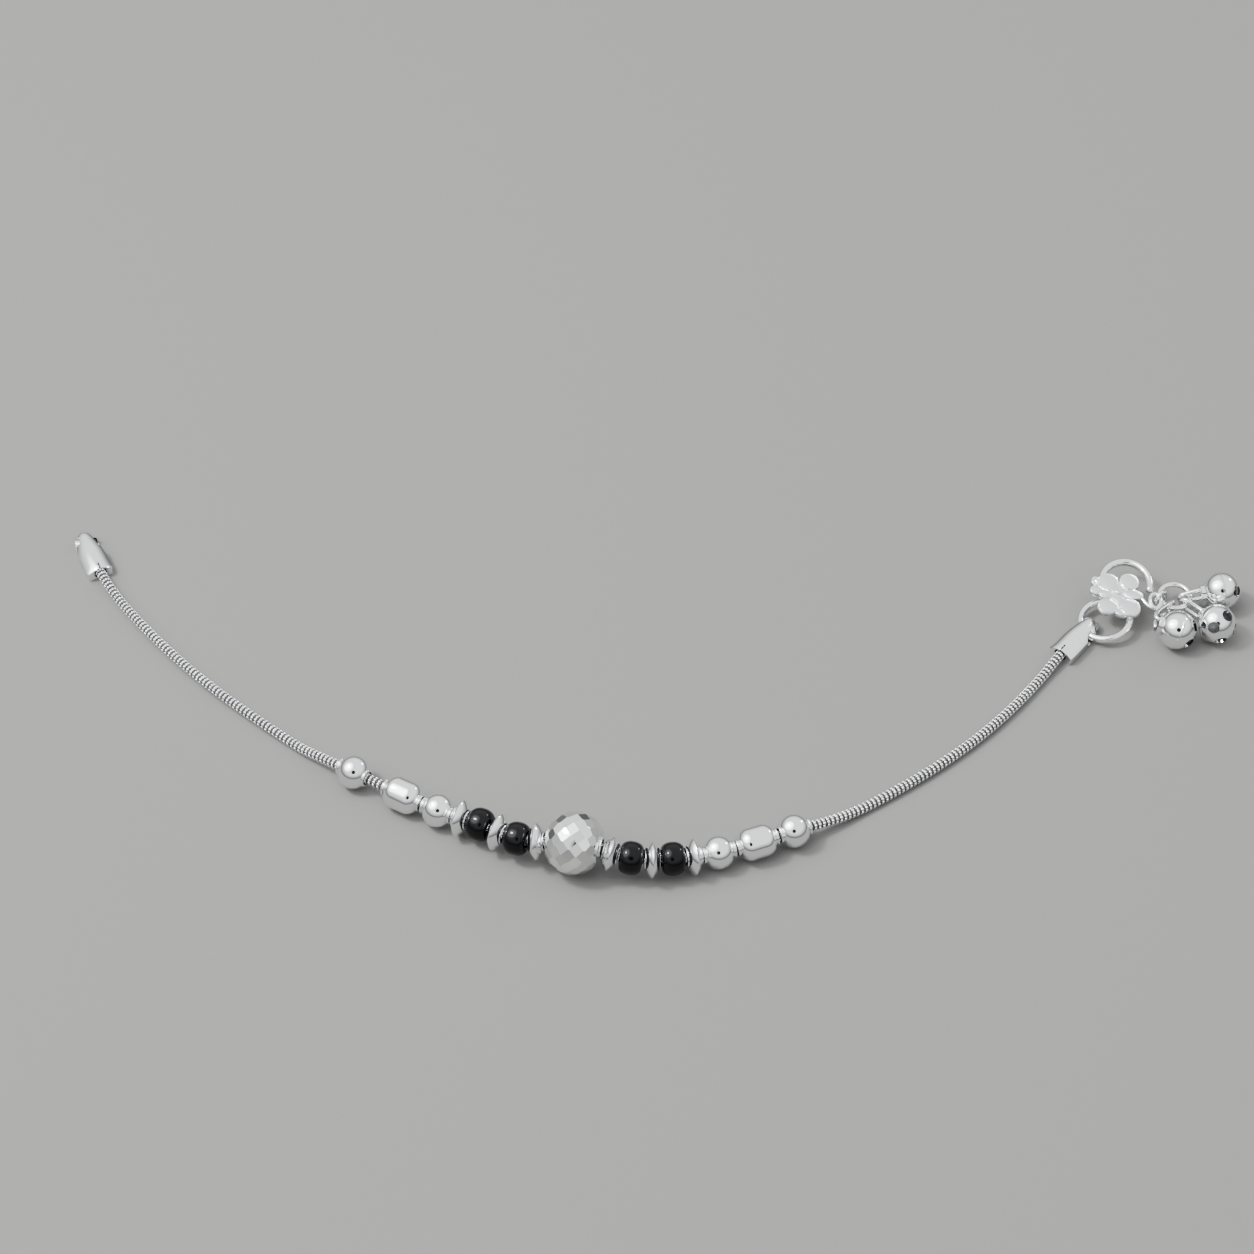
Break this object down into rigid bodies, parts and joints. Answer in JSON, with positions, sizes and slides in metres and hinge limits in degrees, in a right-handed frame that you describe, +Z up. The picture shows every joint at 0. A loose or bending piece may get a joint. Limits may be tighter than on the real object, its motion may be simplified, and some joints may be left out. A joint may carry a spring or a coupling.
{
  "type": "payal anklet",
  "caption": "Beaded payal anklet laid open in an arc: snake chain with smooth, faceted and black beads, end caps, and a flower hook clasp with ring and small round bells.",
  "frame": {"origin": "centre of the bounding box, on the surface the anklet lies on", "axes": "+X from the free end cap's side towards the clasp and bells, +Y from the beads towards the open side of the arc, +Z up off the surface"},
  "size_m": [0.2262, 0.088, 0.0117],
  "materials": {
    "polished_silver": "polished",
    "satin_silver": "satin",
    "silver_chain": "polished",
    "black_glass": "glossy"
  },
  "bodies": {
    "root": {"central_ball": "polished_silver", "bicone_1": "polished_silver", "bicone_2": "polished_silver", "bicone_3": "polished_silver", "bicone_4": "polished_silver", "bicone_5": "polished_silver", "bicone_6": "polished_silver", "inner_ball_left": "polished_silver", "inner_ball_right": "polished_silver", "outer_ball_left": "polished_silver", "outer_ball_right": "polished_silver", "capsule_left": "polished_silver", "capsule_right": "polished_silver", "end_cap_left": "polished_silver", "end_cap_right": "polished_silver", "lower_ring": "polished_silver", "small_link": "polished_silver", "jump_ring": "polished_silver", "bell_front": "polished_silver", "bell_right": "polished_silver", "bell_back": "polished_silver", "black_bead_1": "black_glass", "black_bead_2": "black_glass", "black_bead_3": "black_glass", "black_bead_4": "black_glass", "snake_chain": "silver_chain", "flower_clasp": "satin_silver"}
  },
  "joints": []
}
